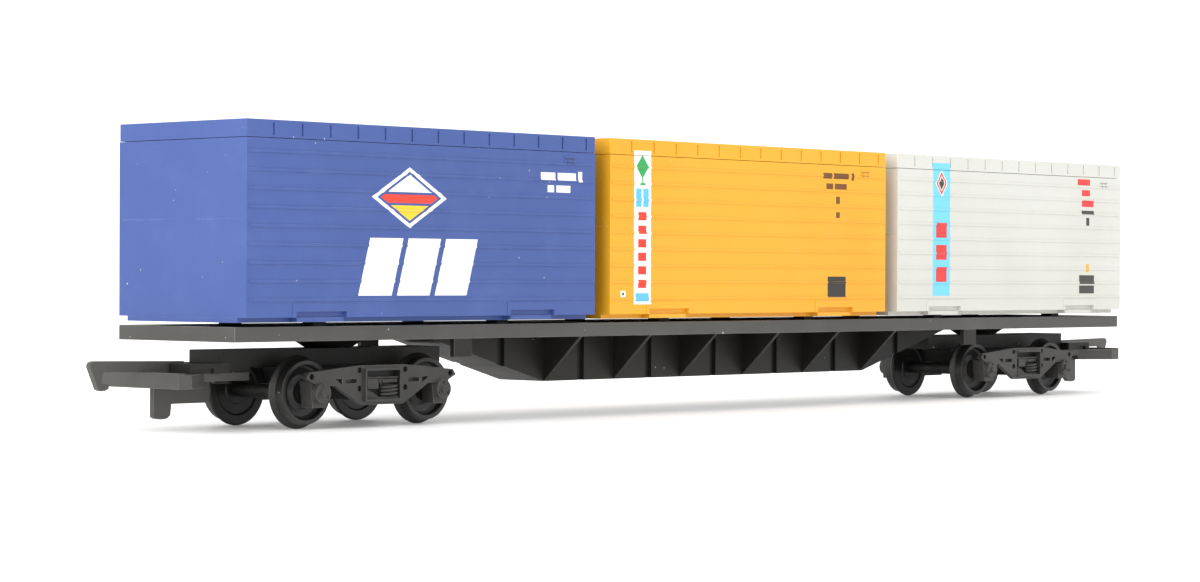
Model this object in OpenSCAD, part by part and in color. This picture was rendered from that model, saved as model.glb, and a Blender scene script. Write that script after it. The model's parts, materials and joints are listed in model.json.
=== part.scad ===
// Model bogie flat wagon with three box containers, 4 mm to the foot.
// The origin is on the floor under the middle of the wagon. X runs along the wagon, Z is up.

/* [Containers] */
// Length of a container
box_len = 80; // [60:1:100]
// Width of a container over its ribs
box_w = 32; // [26:0.5:40]
// Height of a container from the base to the top of the lid
box_h = 32; // [26:0.5:40]
// Thickness of a container's walls
box_wall = 1.2; // [0.8:0.1:1.8]
// Height of the lid's side
lid_h = 2.8; // [2:0.1:4]
// Height of the base plate
base_h = 0.8; // [0.6:0.1:1.2]
// Gap between two containers
box_gap = 3.9; // [2:0.1:5]
// Number of ribs on a long side
rib_count = 9; // [5:1:12]

/* [Deck] */
// Length of deck past the last container
deck_margin = 1.1; // [0.5:0.1:4]
// Depth of the deck's edge
deck_edge = 2.4; // [2:0.1:3.5]
// Thickness of the deck's top plate
deck_plate = 1.2; // [0.8:0.1:1.6]
// Distance from the end of the deck to a bogie's pivot
pivot_inset = 32.5; // [27:0.5:39]

/* [Spine] */
// Width of the centre spine
spine_w = 11; // [9:0.5:13]
// Depth of the centre spine below the deck
spine_depth = 8.1; // [6.5:0.1:9]
// Length of each sloping end of the spine
taper_len = 28.5; // [24:0.5:35]
// Thickness of the spine's walls
spine_wall = 1.2; // [0.8:0.1:1.6]
// Number of gussets on each side
gusset_count = 6; // [4:1:8]
// Thickness of a gusset
gusset_t = 0.8; // [0.5:0.1:1.5]

/* [Bogies] */
// Distance between a bogie's two axles
wheelbase = 27; // [22.5:0.5:33]
// Diameter of a bogie pin
pin_d = 3; // [2.4:0.1:3.6]
// Thickness of a side frame
side_t = 1.2; // [0.9:0.1:1.6]
// Depth of the bogie's long beam
beam_h = 2.7; // [2.2:0.1:3.5]
// Height of the seat between the beam and the deck
seat_h = 1.5; // [1.2:0.1:2.5]

/* [Wheels] */
// Diameter of the tread
tread_d = 10.6; // [8.8:0.1:12.8]
// Height of the flange over the tread
flange_h = 0.7; // [0.5:0.1:1]
// Distance between the backs of the two wheels
back_to_back = 14.5; // [13:0.1:17.5]
// Width of a wheel
wheel_w = 2.7; // [2.2:0.1:3.2]
// Diameter of an axle
axle_d = 2.4; // [1.9:0.1:2.8]

/* [Couplings] */
// Width of the buffing bar
bar_w = 20; // [16:0.5:24]
// Height of the buffing bar
bar_h = 2.5; // [2:0.1:3]
// Thickness of the coupling hook
hook_t = 1; // [0.7:0.1:1.3]

/* [Hidden] */
$fn = 48;
eps = 0.5;

// Running, seating and press clearances
run_gap = 0.05;
swing_gap = 0.1;
press_gap = 0.01;
seat_gap = 0.05;
seam_gap = 0.1;
lip_gap = 0.15;

// Colours
plastic_black = [0.20, 0.20, 0.19];
plastic_dark = [0.12, 0.12, 0.12];
box_blue = [0.28, 0.38, 0.70];
box_orange = [0.95, 0.58, 0.20];
box_white = [0.88, 0.89, 0.87];

// Lengths along the wagon
box_pitch = box_len + box_gap;
deck_len = 3 * box_len + 2 * box_gap + 2 * deck_margin;
deck_w = box_w - 3;
pivot_x = deck_len / 2 - pivot_inset;

// Heights, from the floor up
flange_d = tread_d + 2 * flange_h;
axle_z = flange_d / 2;
beam_low = flange_d - 1.8;
beam_top = beam_low + beam_h;
deck_z = beam_top + seat_h;
deck_top = deck_z + deck_edge;
pad_h = 0.6;
base_z = deck_top + pad_h + seat_gap;
body_z = base_z + base_h;
seam_z = base_z + box_h - lid_h - seam_gap;
lid_z = seam_z + seam_gap;
lid_top = lid_z + lid_h;

// Bogie: local x is measured from the pivot, and the coupling end is at minus x
half_base = wheelbase / 2;
wheel_r = flange_d / 2;
beam_w = 8.1;
beam_wall = 1;
beam_in = half_base + wheel_r + 2.6;
beam_out = half_base + wheel_r + 6.9;
pivot_low = beam_top - beam_wall;
seat_d = 12.6;
seat_low_d = pin_d + 5;
cross_len = 9.4;
tongue_w = 12;
tongue_len = 8;
tongue_recess = 0.4;
end_plate_len = 6;
end_plate_drop = 0.9;
end_plate_t = 1.6;
end_plate_z = beam_low - end_plate_drop;
end_plate_top = end_plate_z + end_plate_t;
pin_head_d = 5;
pin_head_h = 0.9;
wheel_room = 2.35;
side_in = back_to_back / 2 + wheel_w + wheel_room;
side_out = side_in + side_t;
axle_end = side_out - 0.3;

// Side frame outline: heights above the axle
arch_top = 4.3;
arch_end = 3.3;
belly = -2.2;
belly_half = 4.6;
knee = half_base - 3.1;
box_half = 2;
box_low_half = 1.5;
box_up = 1.9;
box_down = -2.4;
box_in = side_in - wheel_room + 0.45;
cap_r = 1.6;
cap_back = 0.4;
cap_proud = 0.6;
bolt_r = 0.6;
bolt_proud = 0.95;
window_half = 3.9;
window_low = -1.3;
window_top = 3.4;
window_rim = 0.35;
rim_proud = 0.5;
hole_depth = 0.8;
nose_hole_r = 0.5;
side_hole_r = 0.5;

// Spine and deck detail
spine_len = 2 * (pivot_x - beam_in + 4.1);
spine_flat = spine_len - 2 * taper_len;
spine_z = deck_z - spine_depth;
spine_half = spine_w / 2;
gusset_pitch = (spine_flat - 0.75) / (gusset_count - 1);
gusset_places = [for (i = [0 : gusset_count - 1]) (i - (gusset_count - 1) / 2) * gusset_pitch];
slot_places = [for (i = [0 : gusset_count - 2]) gusset_places[i] + gusset_pitch / 2];
end_slot = spine_flat / 2 + 10.9;
slot_w = 1.8;
slot_depth = 0.6;
rib_t = 1;
tray_half = deck_w / 2 - deck_plate;
lug_w = 4.2;
lug_h = 3.1;
lug_t = 1;
lug_far = pivot_x - 17.5;
lug_near = pivot_x - 22.1;
lug_places = [[-lug_far, -1], [lug_far, 1], [lug_near, -1], [-lug_near, 1]];
pad_w = 2.7;
pad_x = box_len / 2 - 19;
pad_y = box_w / 2 - 5.5;
peg_d = 1.2;
peg_h = 0.7;
peg_hole_d = peg_d + 0.3;

// Coupling, in the bogie's local frame
bar_t = 1.2;
bar_x = -beam_out - 13.6;
bar_back = bar_x + bar_t;
loop_top = end_plate_z;
loop_t = 1.3;
loop_low = loop_top - loop_t;
loop_end = -beam_out + 5.5;
loop_neck = bar_x + 9;
loop_back = bar_x + 5.6;
neck_half = 5.4;
arm_w = 1.5;
bar_top = loop_top + 0.3;
bar_low = bar_top - bar_h;
ear_gap = 0.15;
pin_reach = hook_t / 2 + ear_gap + 0.8;
pivot_hook = [bar_x + 7.6, loop_top + 0.9];
hook_pin_d = 0.8;
hook_low = loop_top - 4.9;
hook_foot = loop_top - 7.3;
hook_tail = -beam_out + 0.5;
rivet_x = -beam_out + 3.5;
rivet_d = 1.8;
rivet_head_d = 3.2;
rivet_head_h = 0.6;

// Container detail
side_rib = 0.14;
wall_half = box_w / 2 - side_rib;
rib_h = 0.4;
first_rib = 2.8;
last_rib = 2.04;
rib_pitch = (seam_z - body_z - first_rib - last_rib) / (rib_count - 1);
fork_x = box_len / 2 - 15.8;
fork_w = 12.2;
fork_h = 2.2;
fork_rim = 0.7;
fork_deep = 0.7;
fork_slot_h = 0.95;
foot_len = 10;
foot_back = 0.3;
base_inset = 2.3;
floor_t = 1;
post_w = 0.5;
lid_r = 0.25;
lid_lip = 1;
groove_pitch = 6;
groove_w = 0.4;
groove_depth = 0.22;
lid_edge = 0.4;
roof_edge = 1.5;
groove_first = -box_len / 2 + 5.6;
groove_count = floor((box_len - 8) / groove_pitch) + 1;
vent_x = box_len / 2 - 6.6;
vent_len = 2.8;
vent_h = 0.35;
vent_drops = [0.85, 1.6];

// The child and its mirror image in the plane y = 0
module both_sides() {
    children();
    mirror([0, 1, 0]) children();
}

// Places a bogie's shapes: number 1 at minus x, number 2 turned round at plus x
module at_bogie(n) {
    if (n == 1) translate([-pivot_x, 0, 0]) children();
    else translate([pivot_x, 0, 0]) rotate([0, 0, 180]) children();
}

// A box given by its low corner and its high corner
module span(low, high) {
    translate(low) cube(high - low);
}

// An outline in x and z, standing between y = y1 and y = y2
module upright(points, y1, y2) {
    translate([0, y2, 0]) rotate([90, 0, 0]) linear_extrude(y2 - y1) polygon(points);
}

// A round bar along y between y1 and y2
module cross_pin(x, z, r, y1, y2) {
    translate([x, y2, z]) rotate([90, 0, 0]) cylinder(h = y2 - y1, r = r);
}

// A flat block with rounded upright edges, made of true cylinders
module rounded_block(len, wid, h, r) {
    span([r - len / 2, -wid / 2, 0], [len / 2 - r, wid / 2, h]);
    span([-len / 2, r - wid / 2, 0], [len / 2, wid / 2 - r, h]);
    for (sx = [-1, 1], sy = [-1, 1])
        translate([sx * (len / 2 - r), sy * (wid / 2 - r), 0]) cylinder(h = h, r = r);
}

// A plate whose underside is an open tray on both sides of the spine, with cross ribs
module deck() {
    bolster = seat_d / 2;
    stations = concat(
        [-deck_len / 2 + rib_t / 2, -pivot_x - bolster, -pivot_x + bolster],
        gusset_places,
        [pivot_x - bolster, pivot_x + bolster, deck_len / 2 - rib_t / 2]);
    color(plastic_black) difference() {
        span([-deck_len / 2, -deck_w / 2, deck_z], [deck_len / 2, deck_w / 2, deck_top]);
        both_sides() for (i = [0 : len(stations) - 2])
            span([stations[i] + rib_t / 2, spine_half, deck_z - eps],
                [stations[i + 1] - rib_t / 2, tray_half, deck_top - deck_plate]);
    }
}

// A fish-belly trough, closed above by the deck
module centre_spine() {
    top = spine_len / 2;
    flat = spine_flat / 2;
    inner_top = top - 5;
    color(plastic_black) difference() {
        upright([[-top, deck_z], [-flat, spine_z], [flat, spine_z], [top, deck_z]], -spine_half, spine_half);
        upright([[-inner_top, deck_z + eps], [-flat, spine_z + spine_wall],
            [flat, spine_z + spine_wall], [inner_top, deck_z + eps]],
            spine_wall - spine_half, spine_half - spine_wall);
        both_sides() for (x = concat([-end_slot], slot_places, [end_slot]))
            span([x - slot_w / 2, spine_half - slot_depth, spine_z - eps],
                [x + slot_w / 2, spine_half + eps, deck_z + eps]);
    }
}

module side_gussets() {
    color(plastic_black) both_sides() for (x = gusset_places)
        translate([x - gusset_t / 2, 0, 0]) rotate([90, 0, 90]) linear_extrude(gusset_t)
            polygon([[spine_half, deck_z], [deck_w / 2 - 0.2, deck_z], [spine_half, spine_z]]);
}

module step_lugs() {
    color(plastic_black) for (place = lug_places)
        translate([place[0] - lug_w / 2, (place[1] * (deck_w - lug_t) - lug_t) / 2, deck_z - lug_h])
            cube([lug_w, lug_t, lug_h]);
}

// Square pads with a peg on each, four under every container
module container_pads() {
    color(plastic_dark) for (i = [-1 : 1], sx = [-1, 1], sy = [-1, 1])
        translate([i * box_pitch + sx * pad_x, sy * pad_y, deck_top]) {
            translate([-pad_w / 2, -pad_w / 2, 0]) cube([pad_w, pad_w, pad_h]);
            cylinder(h = pad_h + peg_h, d = peg_d);
        }
}

// Cones under the deck that stand on the bogies' beams
module bogie_seats() {
    color(plastic_black) for (sx = [-1, 1]) translate([sx * pivot_x, 0, beam_top + run_gap])
        difference() {
            cylinder(h = seat_h - run_gap, d1 = seat_low_d, d2 = seat_d);
            translate([0, 0, -eps]) cylinder(h = seat_h + 2 * eps, d = pin_d + 2 * press_gap);
        }
}

module bogie_pin(n) {
    head_top = pivot_low - run_gap;
    color(plastic_black) at_bogie(n) {
        translate([0, 0, head_top]) cylinder(h = deck_z - head_top, d = pin_d);
        translate([0, 0, head_top - pin_head_h]) cylinder(h = pin_head_h, d = pin_head_d);
    }
}

// The plate that holds the hook's pin, slotted for the hook and recessed on both sides
module tongue() {
    gap_half = hook_t / 2 + ear_gap + swing_gap;
    difference() {
        span([-beam_out - tongue_len, -tongue_w / 2, end_plate_z], [-beam_out, tongue_w / 2, end_plate_top]);
        span([-beam_out - tongue_len - eps, -gap_half, 0], [bar_x + 9.3, gap_half, deck_z]);
        cross_pin(pivot_hook[0], pivot_hook[1], hook_pin_d / 2 + press_gap, -pin_reach, pin_reach);
        both_sides() span([-beam_out - 6.6, tongue_w / 2 - tongue_recess, 0],
            [-beam_out - 3.2, tongue_w, end_plate_z + 0.8]);
    }
}

// The long beam, the end plate that carries the coupling, and the cross member
module bogie_frame(n) {
    cross_low = axle_z + window_low - 0.1;
    cross_top = beam_low + 0.4;
    color(plastic_black) at_bogie(n) difference() {
        union() {
            difference() {
                span([-beam_out, -beam_w / 2, beam_low], [beam_in, beam_w / 2, beam_top]);
                span([beam_wall - beam_out, beam_wall - beam_w / 2, 0],
                    [beam_in - beam_wall, beam_w / 2 - beam_wall, pivot_low]);
            }
            span([-beam_out, -beam_w / 2, end_plate_z],
                [end_plate_len - beam_out, beam_w / 2, end_plate_top]);
            tongue();
            difference() {
                union() {
                    span([-cross_len / 2, -side_in, cross_low], [cross_len / 2, side_in, beam_low]);
                    span([-cross_len / 2, -beam_w / 2, cross_low], [cross_len / 2, beam_w / 2, cross_top]);
                }
                span([beam_wall - cross_len / 2, beam_wall - side_in, 0],
                    [cross_len / 2 - beam_wall, side_in - beam_wall, beam_low - beam_wall]);
            }
        }
        cylinder(h = deck_z, d = pin_d + 2 * run_gap);
        translate([0, 0, pivot_low - 4]) cylinder(h = 4, d = pin_head_d + 4 * swing_gap);
        translate([rivet_x, 0, 0]) cylinder(h = end_plate_top + swing_gap, d = rivet_d + 2 * press_gap);
    }
}

// The side frame's outline in local x and z
function side_outline() = let (z = axle_z, far = half_base + 3.3, near = half_base + 2.6) [
    [-far, z + 2.4], [-near, z + arch_end], [-4.9, z + arch_top],
    [4.9, z + arch_top], [near, z + arch_end], [far, z + 2.4],
    [half_base + 1.5, z + 1.5], [half_base, z + 1.1], [knee, z + 1.1],
    [belly_half, z + belly], [-belly_half, z + belly],
    [-knee, z + 1.1], [-half_base, z + 1.1], [-half_base - 1.5, z + 1.5]];

// One tapered axle box behind its round cap and bolt
module axle_box(sx) {
    x = sx * half_base;
    upright([[x - box_low_half, axle_z + box_down], [x + box_low_half, axle_z + box_down],
        [x + box_half, axle_z + box_up], [x - box_half, axle_z + box_up]], box_in, side_out - cap_back);
    cross_pin(x, axle_z, cap_r, side_in, side_out + cap_proud);
    cross_pin(x, axle_z, bolt_r, side_in, side_out + bolt_proud);
}

// The lightening holes, slots and bolt holes at one end of a side frame
module side_holes(sx) {
    deep = side_out - hole_depth;
    face = side_out + eps;
    slot_end = 0.778 * half_base;
    slot_mid = 0.663 * half_base;
    slot_in = 0.615 * half_base;
    slot_start = 0.426 * half_base;
    cross_pin(sx * (half_base + 2), axle_z + 2.65, nose_hole_r, side_in - eps, face);
    for (z = [axle_z + 3.5, axle_z + 0.5]) cross_pin(sx * (window_half + 1.2), z, side_hole_r, deep, face);
    upright([[sx * slot_end, axle_z + 2.2], [sx * slot_mid, axle_z + 2.2],
        [sx * slot_mid, axle_z + 1.15]], deep, face);
    upright([[sx * slot_in, axle_z + 2.1], [sx * slot_start, axle_z + 2.1],
        [sx * slot_start, axle_z + 1.4], [sx * slot_in, axle_z + 1.4]], deep, face);
}

// One side frame, with its outer face towards plus y
module side_frame() {
    difference() {
        union() {
            upright(side_outline(), side_in, side_out);
            for (sx = [-1, 1]) axle_box(sx);
            span([-window_half - window_rim, side_in, axle_z + window_low - window_rim],
                [window_half, side_out + rim_proud, axle_z + window_top + window_rim]);
        }
        for (sx = [-1, 1]) {
            cross_pin(sx * half_base, axle_z, axle_d / 2 + run_gap, box_in - eps, axle_end + run_gap);
            side_holes(sx);
        }
        span([-window_half, side_in - eps, axle_z + window_low],
            [window_half, side_out + rim_proud + eps, axle_z + window_top]);
    }
}

module bogie_side(n, side) {
    color(plastic_black) at_bogie(n) {
        if (side > 0) side_frame();
        else mirror([0, 1, 0]) side_frame();
    }
}

// The buffing bar with its two arms and the plate under the bogie's end
module coupling_loop(n) {
    edge = bar_w / 2;
    inner = edge - arm_w;
    slot_half = hook_t / 2 + ear_gap + swing_gap;
    color(plastic_black) at_bogie(n) difference() {
        union() {
            span([bar_x, -edge, bar_low], [bar_back, edge, bar_top]);
            both_sides() translate([0, 0, bar_low]) linear_extrude(loop_top - bar_low)
                polygon([[bar_back, edge], [bar_back + 1.4, edge], [loop_neck, neck_half],
                    [loop_neck, neck_half - arm_w], [bar_back + 1.1, inner], [bar_back, inner]]);
            translate([0, 0, loop_low]) linear_extrude(loop_t)
                polygon([[loop_back, -neck_half], [loop_back, neck_half], [loop_neck, neck_half],
                    [loop_end, 4.4], [loop_end, -4.4], [loop_neck, -neck_half]]);
        }
        span([bar_x + 2.4, -slot_half, 0], [hook_tail + 0.7, slot_half, loop_top + eps]);
        translate([rivet_x, 0, 0]) cylinder(h = loop_top + eps, d = rivet_d + 2 * press_gap);
    }
}

module coupling_rivet(n) {
    low = loop_low - rivet_head_h;
    color(plastic_black) at_bogie(n) translate([rivet_x, 0, low]) {
        cylinder(h = end_plate_top - low, d = rivet_d);
        cylinder(h = rivet_head_h, d = rivet_head_d);
    }
}

module hook_pin(n) {
    color(plastic_black) at_bogie(n)
        cross_pin(pivot_hook[0], pivot_hook[1], hook_pin_d / 2, -pin_reach, pin_reach);
}

// A flat plate: arm and barb in front of the bar, tail and dropper behind it
module coupling_hook(n) {
    x = bar_x;
    under = bar_top + run_gap;
    top = bar_top + 1.9;
    color(plastic_black) at_bogie(n) difference() {
        upright([[x - 9.9, top - 0.8], [x - 9.6, top - 0.2], [x - 9, top],
            [x + 8.8, top - 0.3], [x + 8.8, loop_top - 0.1], [hook_tail, loop_top - 0.2],
            [hook_tail, hook_low], [x + 6.3, hook_low], [x + 6.1, hook_foot + 0.6],
            [x + 5.4, hook_foot + 0.1],
            [x + 4.3, hook_foot], [x + 3.3, hook_foot + 0.1], [x + 2.7, hook_foot + 0.4],
            [x + 2.7, under], [x - 7.3, under], [x - 7.5, under - 1.7], [x - 6.2, under - 1.8],
            [x - 6.1, under - 2.5], [x - 6.8, under - 2.8], [x - 7.6, under - 2.9], [x - 8.3, under - 2.6]],
            -hook_t / 2, hook_t / 2);
        cross_pin(pivot_hook[0], pivot_hook[1], hook_pin_d / 2 + run_gap, -hook_t, hook_t);
    }
}

// Wheelsets 1 and 2 are in bogie 1, 3 and 4 in bogie 2, counted from minus x
module at_axle(i) {
    translate([(i <= 2 ? -pivot_x : pivot_x) + (i % 2 == 1 ? -half_base : half_base), 0, axle_z]) children();
}

module axle(i) {
    color(plastic_dark) at_axle(i) cross_pin(0, 0, axle_d / 2, -axle_end, axle_end);
}

// A wheel with its back at y = 0 and its dished face towards plus y
module wheel() {
    flange_w = 0.8;
    tread_r = tread_d / 2;
    rim_t = 0.9;
    dish = 1.3;
    bore_r = axle_d / 2 + press_gap;
    hub_r = axle_d / 2 + 0.8;
    rotate([-90, 0, 0]) rotate_extrude() polygon([
        [bore_r, 0], [wheel_r - 0.35, 0], [wheel_r, 0.25], [wheel_r, 0.45],
        [tread_r + 0.1, flange_w], [tread_r, flange_w + 0.2], [tread_r - 0.05, wheel_w],
        [tread_r - rim_t, wheel_w], [tread_r - rim_t - 0.25, wheel_w - dish],
        [hub_r + 0.2, wheel_w - dish], [hub_r, wheel_w - 0.2], [bore_r, wheel_w - 0.2]]);
}

module wheel_at(i, side) {
    color(plastic_dark) at_axle(i) {
        if (side > 0) translate([0, back_to_back / 2, 0]) wheel();
        else mirror([0, 1, 0]) translate([0, back_to_back / 2, 0]) wheel();
    }
}

// The raised rim of a fork pocket on the side towards plus y
module fork_rim_at(sx) {
    span([sx * fork_x - fork_w / 2, wall_half - eps, body_z],
        [sx * fork_x + fork_w / 2, wall_half + side_rib, body_z + fork_h]);
}

module fork_recess_at(sx) {
    span([sx * fork_x - fork_w / 2 + fork_rim, wall_half - fork_deep, body_z - eps],
        [sx * fork_x + fork_w / 2 - fork_rim, box_w, body_z + fork_slot_h]);
}

// Two short louvres under the seam near one end of the side towards plus y
module vent_at(sx) {
    for (drop = vent_drops)
        span([sx * vent_x - vent_len / 2, wall_half - eps, seam_z - drop - vent_h / 2],
            [sx * vent_x + vent_len / 2, wall_half + side_rib, seam_z - drop + vent_h / 2]);
}

// Four holes over the pegs, from the height low upwards
module peg_holes(low, h) {
    for (sx = [-1, 1], sy = [-1, 1]) translate([sx * pad_x, sy * pad_y, low]) cylinder(h = h, d = peg_hole_d);
}

// Walls and floor in one piece, open at the top, ribbed on its long sides
module container_body(i, tint) {
    half = box_len / 2;
    color(tint) translate([i * box_pitch, 0, 0]) difference() {
        union() {
            span([-half, -wall_half, body_z], [half, wall_half, seam_z]);
            both_sides() {
                for (k = [0 : rib_count - 1]) {
                    z = body_z + first_rib + k * rib_pitch;
                    span([post_w - half, wall_half - eps, z - rib_h / 2],
                        [half - post_w, wall_half + side_rib, z + rib_h / 2]);
                }
                for (sx = [-1, 1]) fork_rim_at(sx);
            }
            vent_at(-1);
            rotate([0, 0, 180]) vent_at(-1);
        }
        span([box_wall - half, box_wall - wall_half, body_z + floor_t],
            [half - box_wall, wall_half - box_wall, seam_z + eps]);
        both_sides() for (sx = [-1, 1]) fork_recess_at(sx);
        peg_holes(body_z - eps, eps + 0.2);
    }
}

module container_base(i, tint) {
    color(tint) translate([i * box_pitch, 0, 0]) difference() {
        union() {
            span([-box_len / 2, base_inset - box_w / 2, base_z],
                [box_len / 2, box_w / 2 - base_inset, body_z]);
            for (sx = [-1, 1])
                span([sx * fork_x - foot_len / 2, foot_back - wall_half, base_z + 0.1],
                    [sx * fork_x + foot_len / 2, wall_half - foot_back, body_z]);
        }
        peg_holes(base_z - eps, base_h + 2 * eps);
    }
}

// A shallow cap with a lip inside the walls and grooves across its top and on its sides
module container_lid(i, tint) {
    half = box_len / 2;
    wid = 2 * wall_half;
    lip_x = half - box_wall - lip_gap;
    lip_y = wall_half - box_wall - lip_gap;
    color(tint) translate([i * box_pitch, 0, 0]) difference() {
        union() {
            translate([0, 0, lid_z]) rounded_block(box_len, wid, lid_h, lid_r);
            span([-lip_x, -lip_y, seam_z - lid_lip], [lip_x, lip_y, lid_z + eps]);
        }
        span([box_wall - lip_x, box_wall - lip_y, seam_z - lid_lip - eps],
            [lip_x - box_wall, lip_y - box_wall, lid_top - box_wall]);
        for (k = [0 : groove_count - 1]) translate([groove_first + k * groove_pitch - groove_w / 2, 0, 0]) {
            span([0, roof_edge - wid / 2, lid_top - groove_depth],
                [groove_w, wid / 2 - roof_edge, lid_top + eps]);
            both_sides() span([0, wid / 2 - groove_depth, lid_z + lid_edge],
                [groove_w, box_w, lid_top - lid_edge]);
        }
    }
}

deck();
centre_spine();
side_gussets();
step_lugs();
container_pads();
bogie_seats();
bogie_pin(1);  // bogie_pin_1
bogie_pin(2);  // bogie_pin_2
bogie_frame(1);  // bogie_1_frame
bogie_side(1, 1);  // bogie_1_left_side_frame
bogie_side(1, -1);  // bogie_1_right_side_frame
bogie_frame(2);  // bogie_2_frame
bogie_side(2, -1);  // bogie_2_left_side_frame
bogie_side(2, 1);  // bogie_2_right_side_frame
coupling_loop(1);  // coupling_loop_1
coupling_rivet(1);  // coupling_rivet_1
coupling_hook(1);  // coupling_hook_1
hook_pin(1);  // hook_pin_1
coupling_loop(2);  // coupling_loop_2
coupling_rivet(2);  // coupling_rivet_2
coupling_hook(2);  // coupling_hook_2
hook_pin(2);  // hook_pin_2
axle(1);  // axle_1
wheel_at(1, 1);  // left_wheel_1
wheel_at(1, -1);  // right_wheel_1
axle(2);  // axle_2
wheel_at(2, 1);  // left_wheel_2
wheel_at(2, -1);  // right_wheel_2
axle(3);  // axle_3
wheel_at(3, 1);  // left_wheel_3
wheel_at(3, -1);  // right_wheel_3
axle(4);  // axle_4
wheel_at(4, 1);  // left_wheel_4
wheel_at(4, -1);  // right_wheel_4
container_body(-1, box_blue);  // blue_container_body
container_base(-1, box_blue);  // blue_container_base
container_lid(-1, box_blue);  // blue_container_lid
container_body(0, box_orange);  // orange_container_body
container_base(0, box_orange);  // orange_container_base
container_lid(0, box_orange);  // orange_container_lid
container_body(1, box_white);  // white_container_body
container_base(1, box_white);  // white_container_base
container_lid(1, box_white);  // white_container_lid
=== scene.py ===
import bpy
import bmesh
import json
import math
from mathutils import Matrix, Vector


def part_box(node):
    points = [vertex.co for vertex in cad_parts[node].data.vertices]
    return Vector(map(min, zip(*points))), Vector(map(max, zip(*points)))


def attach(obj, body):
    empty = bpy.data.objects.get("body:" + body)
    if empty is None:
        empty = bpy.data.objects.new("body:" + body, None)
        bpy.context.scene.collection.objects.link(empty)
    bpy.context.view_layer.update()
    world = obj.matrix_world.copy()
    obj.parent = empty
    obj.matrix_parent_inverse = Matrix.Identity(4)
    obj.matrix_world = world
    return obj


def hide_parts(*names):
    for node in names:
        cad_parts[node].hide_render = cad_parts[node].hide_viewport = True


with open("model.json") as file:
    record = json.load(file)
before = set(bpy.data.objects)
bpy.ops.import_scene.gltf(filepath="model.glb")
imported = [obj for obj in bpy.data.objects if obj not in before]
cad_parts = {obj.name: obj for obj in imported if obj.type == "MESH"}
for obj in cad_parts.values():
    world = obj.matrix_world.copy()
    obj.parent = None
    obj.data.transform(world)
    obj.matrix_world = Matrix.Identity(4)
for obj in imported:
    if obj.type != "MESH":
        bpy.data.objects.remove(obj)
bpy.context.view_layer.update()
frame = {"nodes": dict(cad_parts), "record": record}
nodes = frame["nodes"]
bodies = frame["record"]["behaviour"]["bodies"]
bodyOf = {node: body for body, members in bodies.items() for node in members}
scene = bpy.context.scene
mm = 0.001
print("frame loaded:", len(nodes), "nodes")


class Wire:  # an output socket that understands arithmetic
    tree = None  # the node tree that new nodes go into

    def __init__(self, socket):
        self.socket = socket

    @classmethod
    def node(cls, kind, settings=None, sockets=None, out=0):  # adds any other node, gives one output
        made = cls.tree.nodes.new("ShaderNode" + kind)
        for key, value in (settings or {}).items():
            setattr(made, key, value)
        for key, value in (sockets or {}).items():
            if isinstance(value, Wire):
                cls.tree.links.new(value.socket, made.inputs[key])
            else:
                made.inputs[key].default_value = value
        return cls(made.outputs[out]) if made.outputs else None

    def apply(self, operation, *others):
        return Wire.node("Math", {"operation": operation}, dict(enumerate((self, *others))))

    def __add__(self, other): return self.apply("ADD", other)
    def __radd__(self, other): return self.apply("ADD", other)
    def __sub__(self, other): return self.apply("SUBTRACT", other)
    def __rsub__(self, other): return Wire.node("Math", {"operation": "SUBTRACT"}, {0: other, 1: self})
    def __mul__(self, other): return self.apply("MULTIPLY", other)
    def __rmul__(self, other): return self.apply("MULTIPLY", other)
    def __gt__(self, other): return self.apply("GREATER_THAN", other)
    def __lt__(self, other): return self.apply("LESS_THAN", other)
    def __or__(self, other): return self.apply("MAXIMUM", other)
    def __abs__(self): return self.apply("ABSOLUTE")

    def within(self, low, high):  # 0 at low and below, 1 at high and above
        return Wire.node("MapRange", {"interpolation_type": "SMOOTHSTEP"},
                         {"Value": self, "From Min": low, "From Max": high})


def rgb(red, green, blue):  # a display colour of 0 to 255, made linear
    return tuple((c / 255 / 12.92 if c < 11 else ((c / 255 + 0.055) / 1.055) ** 2.4)
                 for c in (red, green, blue)) + (1,)


def blend(amount, first, second):  # mixes two colours, through the Mix node's colour sockets
    return Wire.node("Mix", {"data_type": "RGBA"}, {0: amount, 6: first, 7: second}, out=2)


def coordinate(place, axis):  # one coordinate of a place, in millimetres
    return Wire.node("SeparateXYZ", None, {0: place}, out="XYZ".index(axis)) * 1000


# the size is a feature's width in metres
def noise(place, size, detail=2, stretch=(1, 1, 1), roughness=0.5):
    if stretch != (1, 1, 1):
        place = Wire.node("Mapping", None, {"Vector": place, "Scale": stretch})
    return Wire.node("TexNoise", None, {"Vector": place, "Scale": 1 / size, "Detail": detail,
                                        "Roughness": roughness})


def specks(place, cell, radius, share):  # round specks in a share of the cells
    settings = {"Vector": place, "Scale": 1 / cell}
    gap = Wire.node("TexVoronoi", None, settings, out="Distance")
    tone = Wire.node("TexVoronoi", None, settings, out="Color")
    lot = Wire.node("SeparateColor", None, {0: tone}, out=0)
    size = Wire.node("SeparateColor", None, {0: tone}, out=1)
    edge = radius / cell
    soft = edge * 0.2  # how far a rim fades
    return (gap - size * edge).within(soft, -soft) * (lot < share)


def newMaterial(name):  # an empty material, ready for new nodes
    material = bpy.data.materials.new(name)
    material.use_nodes = True
    Wire.tree = material.node_tree
    Wire.tree.nodes.clear()
    return material


def addShader(sockets):  # the newest material's one shader and its output
    shader = Wire.node("BsdfPrincipled", None, sockets)
    Wire.node("OutputMaterial", None, {"Surface": shader})


# the marks lie on a long side: u runs along it from its middle, z up from the rails, in millimetres,
# and each box is left, right, low and high
def boxes(u, z, rows):
    mask = None
    for left, right, low, high in rows:
        one = (u > left) * (u < right) * (z > low) * (z < high)
        mask = one if mask is None else mask | one
    return mask


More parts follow.
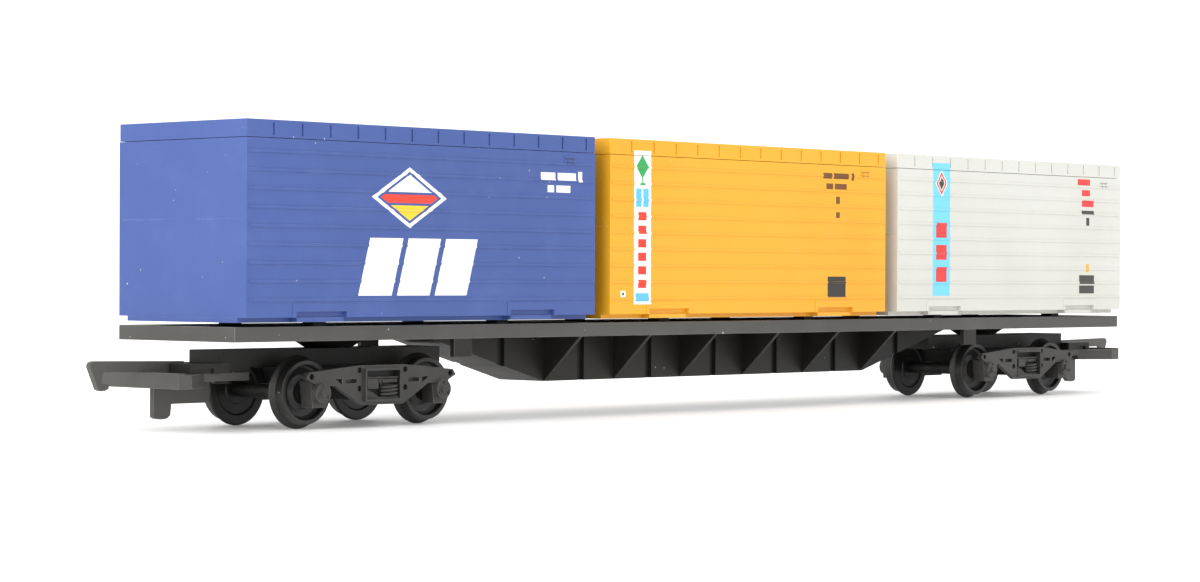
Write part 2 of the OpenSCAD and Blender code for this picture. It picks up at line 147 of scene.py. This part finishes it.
def column(box, pitch, count):  # a box repeated downwards
    left, right, low, high = box
    return [(left, right, low - pitch * i, high - pitch * i) for i in range(count)]


def lozenge(u, z, centre, slopes):  # a distance with straight sides round a centre
    return abs(u - centre[0]) * slopes[0] + abs(z - centre[1]) * slopes[1]


blueLabel = {
    "centre": (-4.9, 37.8), "slopes": (0.118, 0.2), "ring": (0.86, 1.0), "inside": 0.76,
    "white": 38.7, "red": (36.9, 38.3), "yellow": 36.5, "lean": 0.28, "leanFrom": 26.4,
    "blocks": [(-15.0, -7.6, 21.7, 31.1), (-6.4, 1.0, 21.7, 31.1), (2.2, 9.6, 21.7, 31.1)],
    "dashes": [(26.2, 29.8, 41.6, 42.9), (30.4, 35.0, 41.6, 42.9), (35.6, 36.6, 41.4, 43.2),
               (27.9, 29.5, 39.5, 40.7), (30.1, 33.6, 39.5, 40.7)],
    "paint": {"white": rgb(244, 246, 240), "red": rgb(226, 62, 40), "yellow": rgb(250, 200, 35)},
}


def blueMarks(u, z):  # a wide banded lozenge over three slanting blocks, and two rows of dashes
    s, paint = blueLabel, blueLabel["paint"]
    far = lozenge(u, z, s["centre"], s["slopes"])
    ring = (far < s["ring"][1]) * (far > s["ring"][0])
    inside = far < s["inside"]
    blocks = boxes(u - (z - s["leanFrom"]) * s["lean"], z, s["blocks"])
    white = ring | blocks | boxes(u, z, s["dashes"]) | inside * (z > s["white"])
    return [(white, paint["white"]),
            (inside * (z < s["red"][1]) * (z > s["red"][0]), paint["red"]),
            (inside * (z < s["yellow"]), paint["yellow"])]


orangeLabel = {
    "strip": (-33.7, -29.2, 20.0, 47.45), "patch": (-37.2, -35.9, 21.3, 22.4),
    "centre": (-31.5, 44.6), "slopes": (1, 0.8), "leaf": 1.7,
    "stem": [(-31.65, -31.35, 41.6, 44.6), (-32.2, -30.8, 41.3, 41.7)],
    "sky": [(-33.2, -31.7, 37.4, 40.7), (-31.3, -29.8, 37.4, 40.7), (-33.3, -29.7, 20.5, 22.0)],
    "red": (-32.6, -30.4, 35.0, 36.5), "pitch": 2.42, "count": 6,
    "dashes": [(20.3, 23.0, 43.9, 45.0), (23.5, 28.2, 43.9, 45.0), (29.1, 29.9, 43.7, 45.1),
               (21.3, 23.4, 41.9, 43.0), (23.9, 27.6, 41.9, 43.0), (24.3, 25.5, 39.1, 40.5),
               (24.3, 25.5, 36.4, 37.5)],
    "plates": [(21.8, 27.4, 21.1, 25.1), (-36.8, -36.3, 21.6, 22.1)],
    "paint": {"strip": rgb(244, 244, 238), "leaf": rgb(36, 160, 84), "sky": rgb(92, 186, 226),
              "red": rgb(220, 54, 44), "dashes": rgb(110, 66, 22), "plates": rgb(46, 44, 42)},
}


def orangeMarks(u, z):  # an upright white label with blank blocks, thin dashes and two small plates
    s, paint = orangeLabel, orangeLabel["paint"]
    leaf = lozenge(u, z, s["centre"], s["slopes"]) < s["leaf"]
    red = column(s["red"], s["pitch"], s["count"])
    return [(boxes(u, z, [s["strip"], s["patch"]]), paint["strip"]),
            (leaf | boxes(u, z, s["stem"]), paint["leaf"]),
            (boxes(u, z, s["sky"]), paint["sky"]), (boxes(u, z, red), paint["red"]),
            (boxes(u, z, s["dashes"]), paint["dashes"]), (boxes(u, z, s["plates"]), paint["plates"])]


whiteLabel = {
    "strip": (-28.3, -22.5, 21.3, 48.0), "centre": (-25.4, 43.9), "slopes": (1.15, 0.85),
    "badge": 2.3, "ring": (1.4, 2.0), "dot": 1.1,
    "red": (-27.2, -23.6, 33.0, 36.0), "pitch": 4.45, "count": 3,
    "rows": [(23.4, 28.1, 44.8, 46.1), (25.0, 28.1, 42.5, 43.8), (25.0, 29.5, 40.2, 41.6)],
    "plates": [(24.1, 29.8, 21.7, 23.4), (24.1, 29.8, 23.7, 25.6), (24.9, 29.6, 38.6, 39.4),
               (26.7, 27.9, 36.2, 37.9)],
    "tag": (26.6, 27.8, 26.2, 28.0),
    "paint": {"strip": rgb(112, 200, 232), "badge": rgb(240, 240, 236), "red": rgb(214, 58, 54),
              "plates": rgb(62, 61, 58), "tag": rgb(222, 170, 52)},
}


def whiteMarks(u, z):  # an upright pale blue label with blank blocks, a two-part plate and a tag
    s, paint = whiteLabel, whiteLabel["paint"]
    far = lozenge(u, z, s["centre"], s["slopes"])
    ring = (far < s["ring"][1]) * (far > s["ring"][0])
    red = column(s["red"], s["pitch"], s["count"]) + s["rows"]
    return [(boxes(u, z, [s["strip"]]), paint["strip"]), (far < s["badge"], paint["badge"]),
            (ring | boxes(u, z, red), paint["red"]),
            (boxes(u, z, s["plates"]) | (far < s["dot"]), paint["plates"]),
            (boxes(u, z, [s["tag"]]), paint["tag"])]


# the shadows under two short louvres and between them
vents = [(32.0, 34.8, 45.32, 45.5), (32.0, 34.8, 44.57, 44.75),
         (32.6, 32.85, 44.3, 45.5), (33.9, 34.15, 44.3, 45.5)]

# a darker copy of the black plastic, painted shade for the parts that lie in shade under the deck
shadedBlackLook = {"slot": "black_plastic", "colour": rgb(30, 29, 27), "shade": rgb(24, 23, 22),
             "edge": rgb(78, 77, 74), "roughness": 0.42, "sheen": 0.3, "dust": 0.4}

plastics = {
    "bluePlastic": {"slot": "blue_plastic", "colour": rgb(60, 84, 149), "shade": rgb(57, 81, 145),
                    "edge": rgb(112, 132, 190), "roughness": 0.42, "sheen": 0.45, "dust": 0.45,
                    "middle": -83.9, "marks": blueMarks},
    "orangePlastic": {"slot": "orange_plastic", "colour": rgb(228, 164, 28),
                      "shade": rgb(225, 159, 24), "edge": rgb(240, 180, 90), "roughness": 0.42,
                      "sheen": 0.45, "dust": 0.25, "middle": 0, "marks": orangeMarks},
    "whitePlastic": {"slot": "white_plastic", "colour": rgb(203, 204, 198),
                     "shade": rgb(198, 198, 191), "edge": rgb(222, 223, 218), "roughness": 0.42,
                     "sheen": 0.45, "dust": 0.15, "middle": 83.9, "marks": whiteMarks},
    "shadedBlackPlastic": shadedBlackLook,
    # the spine's copy of the shaded black plastic, with painted shade in its upright slots
    "shadedSpinePlastic": {**shadedBlackLook, "slots": {"pitch": 18.25, "last": 45.0, "end": 56.9, "half": 0.85,
                                            "depth": 5.25}},
    # a lighter copy of the same black plastic, painted light for the lit side frames
    "litFramePlastic": {"slot": "black_plastic", "colour": rgb(54, 53, 52), "shade": rgb(45, 44, 43),
                     "edge": rgb(104, 103, 100), "roughness": 0.38, "sheen": 0.4, "dust": 0.4},
    # the lightest copy of the black plastic, for the deck and couplings: more dust, and painted light
    "dustyLitPlastic": {"slot": "black_plastic", "colour": rgb(71, 70, 67), "shade": rgb(62, 61, 59),
                     "edge": rgb(112, 110, 106), "roughness": 0.36, "sheen": 0.45, "dust": 0.6},
    "wheelPlastic": {"slot": "wheel_plastic", "colour": rgb(27, 26, 25), "shade": rgb(21, 20, 19),
                     "edge": rgb(92, 91, 88), "roughness": 0.34, "sheen": 0.5, "dust": 0.25},
}

# noises, the values between which each one fades in, and strengths; lengths are in metres but
# sideFrom is in millimetres, and a speck is its cell, its radius and its share of the dust
surfaceSet = {
    "cloud": {"size": 0.035, "detail": 3}, "grain": {"size": 0.0006}, "scuffArea": {"size": 0.012},
    "patch": {"size": 0.006, "detail": 4, "roughness": 0.65},
    "scuff": {"size": 0.004, "detail": 5, "stretch": (1, 1, 14), "roughness": 0.7},
    "film": {"size": 0.009, "detail": 4, "roughness": 0.7},
    "fade": {"cloud": (0.35, 0.65), "patch": (0.45, 0.75), "scuff": (0.012, 0.0), "upward": (0.5, 1.0),
             "scuffArea": (0.5, 0.62), "worn": (0.35, 0.6), "film": (0.42, 0.7)},
    "largeSpeck": (0.0036, 0.0002, 1.7), "smallSpeck": (0.002, 0.0001, 1),
    "tint": {"patch": 0.07, "vent": 0.45, "worn": 0.75, "scuff": 0.3, "film": 0.1, "dust": 0.75},
    "rough": {"patch": 0.16, "film": 0.3, "dust": 0.3, "worn": 0.06, "mark": 0.08},
    "relief": {"grain": 0.35, "patch": 0.5, "scuff": -0.35, "dust": 1.5},
    "bump": 0.35, "bumpDepth": 0.00003, "sideFrom": 15.2,
    # the slot colour is painted shade for the spine's slots, the vent colour painted shadow under the
    # louvres
    "slot": rgb(5, 5, 5), "vent": rgb(30, 28, 26), "dust": rgb(206, 204, 198),
}


def slotShadeMask(place, slots):  # painted shade in the upright slots on the spine's sides, sizes in millimetres
    along = abs(coordinate(place, "X"))
    near = abs(along.apply("PINGPONG", slots["pitch"] / 2)) < slots["half"]
    last = abs(along - slots["end"]) < slots["half"]
    deep = abs(coordinate(place, "Y")) < slots["depth"]
    return (near * (along < slots["last"]) | last) * deep


def plastic(name, look):
    s = surfaceSet
    fade, tint, roughen, raised = s["fade"], s["tint"], s["rough"], s["relief"]
    material = newMaterial(name)
    place = Wire.node("TexCoord", out="Object")
    worn = Wire.node("Attribute", {"attribute_name": "edgeWear"}, out="Fac")
    cloud = noise(place, **s["cloud"]).within(*fade["cloud"])
    patch = noise(place, **s["patch"])
    grain = noise(place, **s["grain"])
    scuff = noise(place, **s["scuff"])
    area = noise(place, **s["scuffArea"]).within(*fade["scuffArea"])
    lines = abs(scuff - 0.5).within(*fade["scuff"]) * area  # thin lines where the noise is at its middle
    colour = blend(cloud, look["colour"], look["shade"])
    colour = blend(patch.within(*fade["patch"]) * tint["patch"], colour, look["edge"])
    mark = None
    # painted shade: the spine's slots are darkened where shade would fall in them
    if "slots" in look:
        colour = blend(slotShadeMask(place, look["slots"]), colour, s["slot"])
    if "marks" in look:
        across, z = coordinate(place, "Y"), coordinate(place, "Z")
        outer = abs(across) > s["sideFrom"]
        # u runs the same way on both long sides
        u = (coordinate(place, "X") - look["middle"]) * across.apply("SIGN") * -1
        colour = blend(boxes(u, z, vents) * outer * tint["vent"], colour, s["vent"])
        for mask, tone in look["marks"](u, z):
            mask = mask * outer
            colour = blend(mask, colour, tone)
            mark = mask if mark is None else mark | mask
    colour = blend(worn * patch.within(*fade["worn"]) * tint["worn"], colour, look["edge"])
    colour = blend(lines * tint["scuff"] * look["dust"], colour, look["edge"])
    large, small = (specks(place, cell, radius, look["dust"] * share)
                    for cell, radius, share in (s["largeSpeck"], s["smallSpeck"]))
    dust = large | small
    upward = Wire.node("SeparateXYZ", None, {0: Wire.node("TexCoord", out="Normal")}, out="Z")
    film = noise(place, **s["film"]).within(*fade["film"])
    film = upward.within(*fade["upward"]) * film * tint["film"] * look["dust"]
    colour = blend(film | dust * tint["dust"], colour, s["dust"])
    rough = look["roughness"] + patch * roughen["patch"] + film * roughen["film"]
    rough = rough + dust * roughen["dust"] - worn * roughen["worn"]
    if mark is not None:
        rough = rough + mark * roughen["mark"]
    relief = grain * raised["grain"] + patch * raised["patch"]
    relief = relief + lines * raised["scuff"] + dust * raised["dust"]
    bump = Wire.node("Bump", None, {"Height": relief, "Strength": s["bump"], "Distance": s["bumpDepth"]})
    addShader({"Base Color": colour, "Roughness": rough, "Normal": bump,
               "Specular IOR Level": look["sheen"]})
    return material


steelSet = {"colour": rgb(30, 29, 28), "stain": rgb(20, 18, 17), "roughness": 0.5, "metallic": 0.35,
            "streak": {"size": 0.0008, "detail": 3, "stretch": (1, 8, 1), "roughness": 0.6},
            "patch": {"size": 0.003, "detail": 4, "roughness": 0.7}, "fade": (0.45, 0.7),
            "tint": 0.6, "rougher": 0.25, "bump": 0.3, "bumpDepth": 0.00002}


def darkSteel(name):
    s = steelSet
    material = newMaterial(name)
    place = Wire.node("TexCoord", out="Object")
    streak = noise(place, **s["streak"])
    stain = noise(place, **s["patch"]).within(*s["fade"])
    colour = blend(stain * s["tint"], s["colour"], s["stain"])
    bump = Wire.node("Bump", None, {"Height": streak, "Strength": s["bump"], "Distance": s["bumpDepth"]})
    addShader({"Base Color": colour, "Metallic": s["metallic"],
               "Roughness": stain * s["rougher"] + s["roughness"], "Normal": bump})
    return material


finish = {name: plastic(name, look) for name, look in plastics.items()}
finish["steel"] = darkSteel("steel")
print("materials made:", len(finish))

# the gap and the seam are in metres, the angles in degrees
meshSet = {"gap": 2e-6, "seam": 1e-7, "flat": 0.4, "sharp": 30, "smooth": 32}

# the widths of softened edges, in millimetres
edgeWidth = {"axle": 0.12, "deck": 0.09, "centre_spine": 0.09, "side_gussets": 0.06, "step_lugs": 0.07,
             "container_pads": 0.05, "bogie_seats": 0.08, "bogie_frame": 0.08, "side_frame": 0.055,
             "coupling_loop": 0.07, "coupling_hook": 0.07, "rivet": 0.12, "pin": 0.1, "hook_pin": 0.06,
             "container_body": 0.06, "container_base": 0.05, "container_lid": 0.07}


def addPiece(name, work, body, look, replaced=(), smooth=meshSet["smooth"]):
    mesh = bpy.data.meshes.new(name)
    work.to_mesh(mesh)
    work.free()
    mesh.shade_smooth()
    mesh.set_sharp_from_angle(angle=math.radians(smooth))
    mesh.materials.append(finish[look])
    piece = bpy.data.objects.new(name, mesh)
    scene.collection.objects.link(piece)
    normals = piece.modifiers.new("evenNormals", "WEIGHTED_NORMAL")
    normals.keep_sharp = True
    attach(piece, body)
    plastics[look]["slot"] if look in plastics else look
    if replaced:
        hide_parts(*replaced)


# bevels the sharp edges by a width in millimetres, and marks the new faces worn
def rounded(work, width, segments=2):
    layers = work.faces.layers.float
    wear = layers.get("edgeWear") or layers.new("edgeWear")
    limit = math.radians(meshSet["sharp"])
    sharp = [e for e in work.edges if len(e.link_faces) == 2 and e.calc_face_angle(0) > limit]
    made = bmesh.ops.bevel(work, geom=sharp, offset=width * mm, offset_type="OFFSET", affect="EDGES",
                           segments=segments, profile=0.5, material=-1, clamp_overlap=True)
    for face in made["faces"]:
        face[wear] = 1.0


def merged(node):  # a copy of a CAD node's mesh with whole faces
    work = bmesh.new()
    work.from_mesh(nodes[node].data)
    bmesh.ops.remove_doubles(work, verts=work.verts, dist=meshSet["gap"])
    bmesh.ops.dissolve_limit(work, angle_limit=math.radians(meshSet["flat"]), verts=work.verts,
                             edges=work.edges)
    return work


def softened(name, node, look, kind):  # a CAD node's own shape with softened edges
    work = merged(node)
    rounded(work, edgeWidth[kind])
    addPiece(name, work, bodyOf[node], look, (node,))


def block(work, xs, ys, zs):  # a block between two values on each axis, in millimetres and any order
    low, high = (Vector(ends) * mm for ends in zip(*(sorted(pair) for pair in (xs, ys, zs))))
    size = Matrix.Diagonal((*(high - low), 1))
    place = Matrix.Translation((low + high) / 2)
    return bmesh.ops.create_cube(work, size=1, matrix=place @ size)["verts"]


def peg(work, centre, axis, radius, length, segments, top=1.0):  # a round peg, narrowed by top
    turn = Vector((0, 0, 1)).rotation_difference(Vector(axis)).to_matrix().to_4x4()
    place = Matrix.Translation(Vector(centre) * mm) @ turn
    bmesh.ops.create_cone(work, cap_ends=True, segments=segments, radius1=radius * mm,
                          radius2=radius * top * mm, depth=length * mm, matrix=place)


wheelSet = {"flangeRadius": 6.0, "treadRadius": 5.3, "width": 2.7, "rim": 0.85, "dish": 1.45,
            "hubRadius": 1.95, "hubLength": 0.35, "bore": 1.2, "steps": 96, "smooth": 26}


def wheelPiece(name, node, side):
    s = wheelSet
    low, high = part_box(node)
    centre = (low + high) / 2
    back = (low.y if side > 0 else high.y) / mm
    width, bore, hub, tread, flange = (s[key] for key in ("width", "bore", "hubRadius", "treadRadius",
                                                          "flangeRadius"))
    inner = tread - s["rim"]
    web = width - s["dish"]
    # radius and distance from the back face: back, flange, tread, rim, web and hub
    profile = [
        (bore, 0.02), (hub + 0.3, 0.02), (hub + 0.5, 0.22), (inner - 0.4, 0.22), (inner - 0.1, 0.0),
        (flange - 0.3, 0.0), (flange - 0.06, 0.16), (flange, 0.34), (flange - 0.1, 0.52),
        (tread + 0.2, 0.78), (tread + 0.03, 1.0), (tread - 0.06, width - 0.1), (tread - 0.16, width),
        (inner + 0.12, width), (inner, width - 0.12), (inner - 0.12, web + 0.35),
        (inner - 0.5, web + 0.06), (hub + 0.9, web - 0.12), (hub + 0.35, web + 0.05),
        (hub, web + 0.3), (hub - 0.08, width - s["hubLength"]), (bore, width - 0.3),
    ]
    work = bmesh.new()
    points = [work.verts.new((centre.x + r * mm, (back + side * y) * mm, centre.z)) for r, y in profile]
    edges = [work.edges.new((points[i - 1], points[i])) for i in range(len(points))]
    bmesh.ops.spin(work, geom=points + edges, axis=(0, 1, 0), cent=centre, dvec=(0, 0, 0),
                   steps=s["steps"], angle=math.tau, use_merge=True)
    bmesh.ops.remove_doubles(work, verts=work.verts, dist=meshSet["seam"])
    bmesh.ops.recalc_face_normals(work, faces=work.faces)
    addPiece(name, work, bodyOf[node], "wheelPlastic", (node,), s["smooth"])


for n in (1, 2, 3, 4):
    wheelPiece(f"leftWheel{n}", f"left_wheel_{n}", 1)
    wheelPiece(f"rightWheel{n}", f"right_wheel_{n}", -1)
    softened(f"axle{n}", f"axle_{n}", "steel", "axle")
print("wheels and axles made")

underframe = {"deck": ("deck", "dustyLitPlastic"), "centreSpine": ("centre_spine", "shadedSpinePlastic"),
              "sideGussets": ("side_gussets", "shadedBlackPlastic"), "stepLugs": ("step_lugs", "shadedBlackPlastic"),
              "containerPads": ("container_pads", "shadedBlackPlastic"),
              "bogieSeats": ("bogie_seats", "shadedBlackPlastic")}
for name, (node, look) in underframe.items():
    softened(name, node, look, node)
for n in (1, 2):
    softened(f"bogiePin{n}", f"bogie_pin_{n}", "steel", "pin")
    softened(f"bogieFrame{n}", f"bogie_{n}_frame", "shadedBlackPlastic", "bogie_frame")
    softened(f"leftSideFrame{n}", f"bogie_{n}_left_side_frame", "litFramePlastic", "side_frame")
    softened(f"rightSideFrame{n}", f"bogie_{n}_right_side_frame", "litFramePlastic", "side_frame")
    softened(f"couplingLoop{n}", f"coupling_loop_{n}", "dustyLitPlastic", "coupling_loop")
    softened(f"couplingHook{n}", f"coupling_hook_{n}", "dustyLitPlastic", "coupling_hook")
    softened(f"couplingRivet{n}", f"coupling_rivet_{n}", "steel", "rivet")
    softened(f"hookPin{n}", f"hook_pin_{n}", "steel", "hook_pin")
print("underframe, bogies and couplings made")


springSet = {"middle": 1.7, "low": 5.1, "high": 7.15, "coilRadius": 1.75, "wireRadius": 0.18,
             "wireSides": 8, "turns": 3.5, "flat": 0.46, "depth": 13.05, "steps": 18}
# each part is left, right, low, high and front; the wedge is cut down to its toe on the right
windowSet = {"back": 12.2, "bevel": 0.05, "toe": 0.25,
             "parts": {"bolster": (-3.35, -0.95, 6.4, 8.0, 13.55),
                       "bracket": (-0.5, 3.4, 7.35, 7.95, 13.3),
                       "hood": (-3.75, 3.75, 8.05, 8.35, 13.2),
                       "shelf": (-3.75, 3.75, 4.7, 5.0, 13.4),
                       "wedge": (-3.1, -0.7, 5.0, 6.3, 13.1)}}
bracketBolt = {"at": (0.1, 2.8), "height": 7.6, "front": 13.3, "radius": 0.2, "length": 0.24,
               "sides": 8, "top": 0.8}
capBolt = {"face": 14.1, "ring": 1.16, "base": 13.5, "height": 6.0, "count": 3, "radius": 0.24,
           "length": 0.4, "sides": 6, "top": 0.85}


def addWindow(work):
    for key, (left, right, low, high, front) in windowSet["parts"].items():
        verts = block(work, (left, right), (-front, -windowSet["back"]), (low, high))
        if key == "wedge":
            for v in verts:
                if v.co.z > (low + high) / 2 * mm and v.co.x > (left + right) / 2 * mm:
                    v.co.z = (low + windowSet["toe"]) * mm
    rounded(work, windowSet["bevel"], 1)


def addBolt(work, s, x, z, front):
    peg(work, (x, -front, z), (0, -1, 0), s["radius"], s["length"], s["sides"], s["top"])


def addSpring(work):  # a coil, flattened towards its own axis, with closed ends
    s = springSet
    axis = Vector((s["middle"], -s["depth"], s["low"])) * mm
    place = Matrix.Translation(axis + Vector((s["coilRadius"] * mm, 0, 0)))
    ring = bmesh.ops.create_circle(work, segments=s["wireSides"], radius=s["wireRadius"] * mm,
                                   matrix=place @ Matrix.Rotation(math.pi / 2, 4, "X"))["verts"]
    before = set(work.verts) - set(ring)
    edges = {e for v in ring for e in v.link_edges}
    steps = round(s["turns"] * s["steps"])
    bmesh.ops.spin(work, geom=list(ring) + list(edges), axis=(0, 0, 1), cent=axis, steps=steps,
                   dvec=(0, 0, (s["high"] - s["low"]) * mm / steps), angle=math.tau * s["turns"])
    bmesh.ops.holes_fill(work, edges=[e for e in work.edges if e.is_boundary], sides=s["wireSides"])
    for v in work.verts:
        if v not in before:
            v.co.y = axis.y + (v.co.y - axis.y) * s["flat"]


def springPiece(name, node, turned):  # parts in a side frame's window, and small bolts on its two caps
    work = bmesh.new()
    addWindow(work)
    for x in bracketBolt["at"]:
        addBolt(work, bracketBolt, x, bracketBolt["height"], bracketBolt["front"])
    for side in (-1, 1):
        for i in range(capBolt["count"]):
            angle = math.radians(90 + 360 / capBolt["count"] * i)
            x = side * capBolt["base"] + capBolt["ring"] * math.cos(angle)
            z = capBolt["height"] + capBolt["ring"] * math.sin(angle)
            addBolt(work, capBolt, x, z, capBolt["face"])
    addSpring(work)
    bmesh.ops.recalc_face_normals(work, faces=work.faces)
    low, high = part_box(node)
    middle = Vector(((low.x + high.x) / 2, 0, 0))
    turn = Matrix.Rotation(math.pi if turned else 0, 4, "Z")
    bmesh.ops.transform(work, matrix=Matrix.Translation(middle) @ turn, verts=work.verts)
    addPiece(name, work, bodyOf[node], "litFramePlastic")


keelSet = {"half": 13.0, "near": 3.05, "far": 4.05, "low": 9.65, "high": 10.3, "bevel": 0.08}


def keelPiece(name, node):  # two strips along the underside of a bogie's beam
    s = keelSet
    work = bmesh.new()
    for side in (-1, 1):
        block(work, (-s["half"], s["half"]), (side * s["near"], side * s["far"]), (s["low"], s["high"]))
    rounded(work, s["bevel"])
    low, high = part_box(node)
    bmesh.ops.translate(work, verts=work.verts, vec=((low.x + high.x) / 2, 0, 0))
    addPiece(name, work, bodyOf[node], "shadedBlackPlastic")


for n in (1, 2):
    keelPiece(f"beamStrips{n}", f"bogie_{n}_left_side_frame")
    for side in ("left", "right"):
        node = f"bogie_{n}_{side}_side_frame"
        springPiece(f"{side}Springs{n}", node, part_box(node)[0].y > 0)
print("beam strips, springs and bolts made")


for colour in ("blue", "orange", "white"):
    for part in ("body", "base", "lid"):
        softened(f"{colour}Container{part.title()}", f"{colour}_container_{part}", f"{colour}Plastic",
                 "container_" + part)


# an "at" along the height is a share of it, an "at" across is in millimetres
doorSet = {"leaf": {"near": 0.3, "far": 14.7, "under": 1.5, "over": 1.0, "proud": 0.13},
           "hinge": {"at": (0.12, 0.38, 0.64, 0.88), "near": 13.6, "far": 15.2, "half": 0.35,
                     "proud": 0.28},
           "rod": {"at": (4.1, 11.0), "radius": 0.3, "inset": 0.03, "shorter": 2.2, "sides": 16},
           "guide": {"at": (0.1, 0.5, 0.9), "side": 0.6, "half": 0.4},
           "handle": {"at": 0.34, "near": 0.2, "far": 2.9, "half": 0.18, "proud": 0.29},
           "rail": {"at": 0.55, "side": 15.2, "half": 0.12, "proud": 0.05, "sunk": 0.1},
           "proud": 0.34, "sunk": 0.1, "bevel": 0.05}


def doorPiece(name, node):  # two door leaves with lock rods on one end, a thin rail on the other end
    leaf, hinge, rod, guide, handle, rail = (doorSet[key] for key in ("leaf", "hinge", "rod", "guide",
                                                                      "handle", "rail"))
    low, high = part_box(node)
    face, other = high.x / mm, low.x / mm
    foot, top = low.z / mm, high.z / mm
    tall = top - foot
    sunk, front = face - doorSet["sunk"], face + doorSet["proud"]
    work = bmesh.new()
    for side in (-1, 1):
        block(work, (sunk, face + leaf["proud"]), (side * leaf["near"], side * leaf["far"]),
              (foot + leaf["under"], top - leaf["over"]))
        for share in hinge["at"]:
            z = foot + share * tall
            block(work, (sunk, face + hinge["proud"]), (side * hinge["near"], side * hinge["far"]),
                  (z - hinge["half"], z + hinge["half"]))
        for across in rod["at"]:
            y = side * across
            for share in guide["at"]:
                z = foot + share * tall
                block(work, (sunk, front), (y - guide["side"], y + guide["side"]),
                      (z - guide["half"], z + guide["half"]))
            z = foot + handle["at"] * tall
            block(work, (face, face + handle["proud"]),
                  (y - side * handle["near"], y - side * handle["far"]),
                  (z - handle["half"], z + handle["half"]))
    z = foot + rail["at"] * tall
    block(work, (other - rail["proud"], other + rail["sunk"]), (-rail["side"], rail["side"]),
          (z - rail["half"], z + rail["half"]))
    rounded(work, doorSet["bevel"], 1)
    for side in (-1, 1):
        for across in rod["at"]:
            centre = (front - rod["radius"] - rod["inset"], side * across, (foot + top) / 2)
            peg(work, centre, (0, 0, 1), rod["radius"], tall - rod["shorter"], rod["sides"])
    addPiece(name, work, bodyOf[node], name.replace("Ends", "Plastic"))


for colour in ("blue", "orange", "white"):
    doorPiece(colour + "Ends", f"{colour}_container_body")
print("containers made")


cameraSet = {"place": (-425.68, -370.38, 25.13), "yaw": 47.219, "pitch": -0.301, "roll": 0.233,
             "lens": 88.878, "sensor": 36, "nearest": 0.01, "farthest": 50}
lightSet = {
    "key": {"place": (-1.25, -0.28, 0.6), "size": 0.9, "power": 8, "colour": (1.0, 0.99, 0.97)},
    "top": {"place": (0.15, -0.35, 1.5), "size": 1.2, "power": 3, "colour": (1.0, 1.0, 1.0)},
}
stageSet = {"floor": rgb(246, 245, 244), "shade": rgb(243, 242, 241), "cloud": {"size": 0.2, "detail": 3},
            "roughness": 0.55, "glow": 0.13, "radius": 7.0, "sides": 96, "sky": 1.3,
            "aim": (0, 0, 0.025)}


def addFloor(s):
    work = bmesh.new()
    bmesh.ops.create_circle(work, cap_ends=True, segments=s["sides"], radius=s["radius"])
    mesh = bpy.data.meshes.new("floor")
    work.to_mesh(mesh)
    work.free()
    floor = bpy.data.objects.new("floor", mesh)
    scene.collection.objects.link(floor)
    mesh.materials.append(newMaterial("palePaper"))
    place = Wire.node("TexCoord", out="Object")
    tone = blend(noise(place, **s["cloud"]), s["floor"], s["shade"])
    addShader({"Base Color": tone, "Roughness": s["roughness"], "Emission Color": (1, 1, 1, 1),
               "Emission Strength": s["glow"]})


def addLight(name, s):
    data = bpy.data.lights.new(name, "AREA")
    data.shape = "DISK"
    data.size = s["size"]
    data.energy = s["power"]
    data.color = s["colour"]
    light = bpy.data.objects.new(name, data)
    scene.collection.objects.link(light)
    light.location = s["place"]
    aim = Vector(stageSet["aim"]) - light.location
    light.rotation_euler = aim.to_track_quat("-Z", "Y").to_euler()


def addCamera(s):
    data = bpy.data.cameras.new("camera")
    data.sensor_width = s["sensor"]
    data.lens = s["lens"]
    data.clip_start, data.clip_end = s["nearest"], s["farthest"]
    yaw, pitch, roll = (math.radians(s[key]) for key in ("yaw", "pitch", "roll"))
    ahead = Vector((math.sin(yaw) * math.cos(pitch), math.cos(yaw) * math.cos(pitch), math.sin(pitch)))
    right = Vector((math.cos(yaw), -math.sin(yaw), 0))
    up = right.cross(ahead)
    across = right * math.cos(roll) + up * math.sin(roll)
    over = up * math.cos(roll) - right * math.sin(roll)
    turn = Matrix((across, over, -ahead)).transposed().to_4x4()
    camera = bpy.data.objects.new("camera", data)
    scene.collection.objects.link(camera)
    camera.matrix_world = Matrix.Translation(Vector(s["place"]) * mm) @ turn
    scene.camera = camera


def addSky(strength):
    world = bpy.data.worlds.new("studio")
    world.use_nodes = True
    sky = world.node_tree.nodes["Background"].inputs
    sky["Color"].default_value = (1, 1, 1, 1)
    sky["Strength"].default_value = strength
    scene.world = world


addFloor(stageSet)
for name, s in lightSet.items():
    addLight(name, s)
addCamera(cameraSet)
addSky(stageSet["sky"])
scene.view_settings.view_transform = "Standard"
print("stage, lights and camera set")
